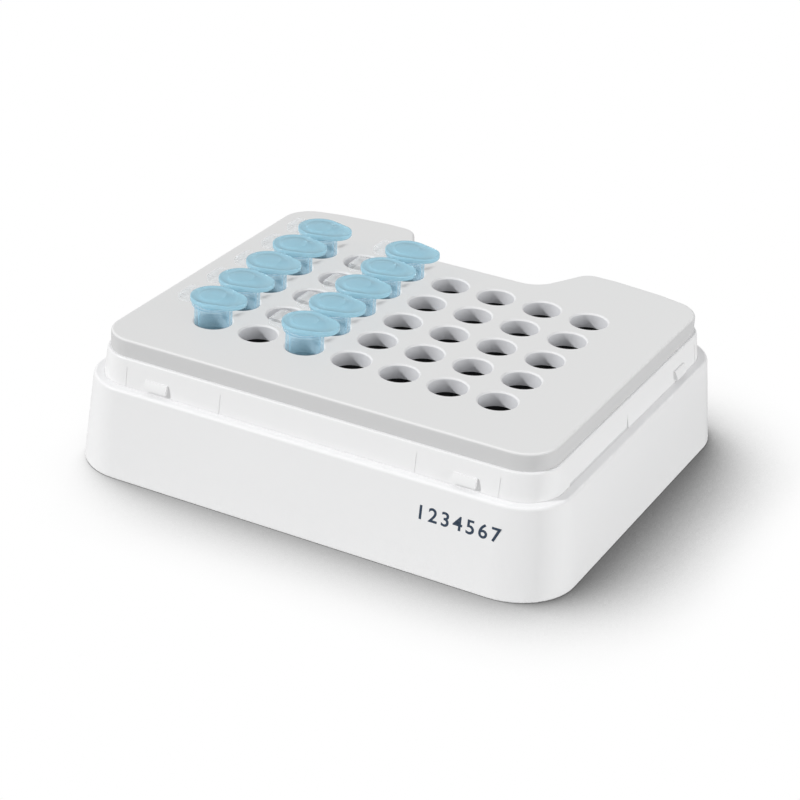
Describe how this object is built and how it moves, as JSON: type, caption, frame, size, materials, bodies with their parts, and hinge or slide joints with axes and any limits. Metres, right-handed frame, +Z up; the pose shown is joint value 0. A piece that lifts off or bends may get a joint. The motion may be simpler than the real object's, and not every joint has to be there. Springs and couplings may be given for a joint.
{
  "type": "heating block module",
  "caption": "Heating block module for microtubes: a drilled plate and well block in a drafted, ledged skirt with a notched back, holding lidded tubes that lift out.",
  "frame": {"origin": "middle of the footprint, on the surface that the skirt stands on", "axes": "+X along the seven columns of wells, +Y towards the notched back, +Z up"},
  "size_m": [0.1536, 0.131, 0.0485],
  "materials": {
    "skirt_plastic": "fine satin moulding",
    "collar_plastic": "fine satin moulding",
    "plate_metal": "light grey, satin anodised",
    "seal_rubber": "matt",
    "block_metal": "machined, dark anodised",
    "sleeve_foam": "closed-cell foam",
    "screw_steel": "plain",
    "tube_plastic": "translucent tinted polypropylene",
    "lid_plastic": "translucent tinted polypropylene"
  },
  "bodies": {
    "module": {"skirt": "skirt_plastic", "collar": "collar_plastic", "top_plate": "plate_metal", "seal": "seal_rubber", "heating_block": "block_metal", "sleeve": "sleeve_foam", "block_screws": "screw_steel", "plate_screws": "screw_steel"},
    "tube_1": {"tube_1": "tube_plastic"},
    "lid_1": {"lid_1": "lid_plastic"},
    "tube_2": {"tube_2": "tube_plastic"},
    "lid_2": {"lid_2": "lid_plastic"},
    "tube_3": {"tube_3": "tube_plastic"},
    "lid_3": {"lid_3": "lid_plastic"},
    "tube_4": {"tube_4": "tube_plastic"},
    "lid_4": {"lid_4": "lid_plastic"},
    "tube_5": {"tube_5": "tube_plastic"},
    "lid_5": {"lid_5": "lid_plastic"},
    "tube_6": {"tube_6": "tube_plastic"},
    "lid_6": {"lid_6": "lid_plastic"},
    "tube_7": {"tube_7": "tube_plastic"},
    "lid_7": {"lid_7": "lid_plastic"},
    "tube_8": {"tube_8": "tube_plastic"},
    "lid_8": {"lid_8": "lid_plastic"},
    "tube_9": {"tube_9": "tube_plastic"},
    "lid_9": {"lid_9": "lid_plastic"},
    "tube_10": {"tube_10": "tube_plastic"},
    "lid_10": {"lid_10": "lid_plastic"}
  },
  "joints": [
    {"name": "tube_1_lift", "type": "slide", "parent": "module", "child": "tube_1", "axis": [0, 0, 1], "range_m": [0, 0.045]},
    {"name": "lid_1_hinge", "type": "hinge", "parent": "tube_1", "child": "lid_1", "pos_m": [-0.0554, -0.0335, 0.0468], "axis": [0, -1, 0], "range_deg": [0, 150]},
    {"name": "tube_2_lift", "type": "slide", "parent": "module", "child": "tube_2", "axis": [0, 0, 1], "range_m": [0, 0.045]},
    {"name": "lid_2_hinge", "type": "hinge", "parent": "tube_2", "child": "lid_2", "pos_m": [-0.0554, -0.0185, 0.0468], "axis": [0, -1, 0], "range_deg": [0, 150]},
    {"name": "tube_3_lift", "type": "slide", "parent": "module", "child": "tube_3", "axis": [0, 0, 1], "range_m": [0, 0.045]},
    {"name": "lid_3_hinge", "type": "hinge", "parent": "tube_3", "child": "lid_3", "pos_m": [-0.0554, -0.0035, 0.0468], "axis": [0, -1, 0], "range_deg": [0, 150]},
    {"name": "tube_4_lift", "type": "slide", "parent": "module", "child": "tube_4", "axis": [0, 0, 1], "range_m": [0, 0.045]},
    {"name": "lid_4_hinge", "type": "hinge", "parent": "tube_4", "child": "lid_4", "pos_m": [-0.0554, 0.0115, 0.0468], "axis": [0, -1, 0], "range_deg": [0, 150]},
    {"name": "tube_5_lift", "type": "slide", "parent": "module", "child": "tube_5", "axis": [0, 0, 1], "range_m": [0, 0.045]},
    {"name": "lid_5_hinge", "type": "hinge", "parent": "tube_5", "child": "lid_5", "pos_m": [-0.0554, 0.0265, 0.0468], "axis": [0, -1, 0], "range_deg": [0, 150]},
    {"name": "tube_6_lift", "type": "slide", "parent": "module", "child": "tube_6", "axis": [0, 0, 1], "range_m": [0, 0.045]},
    {"name": "lid_6_hinge", "type": "hinge", "parent": "tube_6", "child": "lid_6", "pos_m": [-0.0254, -0.0335, 0.0468], "axis": [0, -1, 0], "range_deg": [0, 150]},
    {"name": "tube_7_lift", "type": "slide", "parent": "module", "child": "tube_7", "axis": [0, 0, 1], "range_m": [0, 0.045]},
    {"name": "lid_7_hinge", "type": "hinge", "parent": "tube_7", "child": "lid_7", "pos_m": [-0.0254, -0.0185, 0.0468], "axis": [0, -1, 0], "range_deg": [0, 150]},
    {"name": "tube_8_lift", "type": "slide", "parent": "module", "child": "tube_8", "axis": [0, 0, 1], "range_m": [0, 0.045]},
    {"name": "lid_8_hinge", "type": "hinge", "parent": "tube_8", "child": "lid_8", "pos_m": [-0.0254, -0.0035, 0.0468], "axis": [0, -1, 0], "range_deg": [0, 150]},
    {"name": "tube_9_lift", "type": "slide", "parent": "module", "child": "tube_9", "axis": [0, 0, 1], "range_m": [0, 0.045]},
    {"name": "lid_9_hinge", "type": "hinge", "parent": "tube_9", "child": "lid_9", "pos_m": [-0.0254, 0.0115, 0.0468], "axis": [0, -1, 0], "range_deg": [0, 150]},
    {"name": "tube_10_lift", "type": "slide", "parent": "module", "child": "tube_10", "axis": [0, 0, 1], "range_m": [0, 0.045]},
    {"name": "lid_10_hinge", "type": "hinge", "parent": "tube_10", "child": "lid_10", "pos_m": [-0.0254, 0.0265, 0.0468], "axis": [0, -1, 0], "range_deg": [0, 150]}
  ]
}
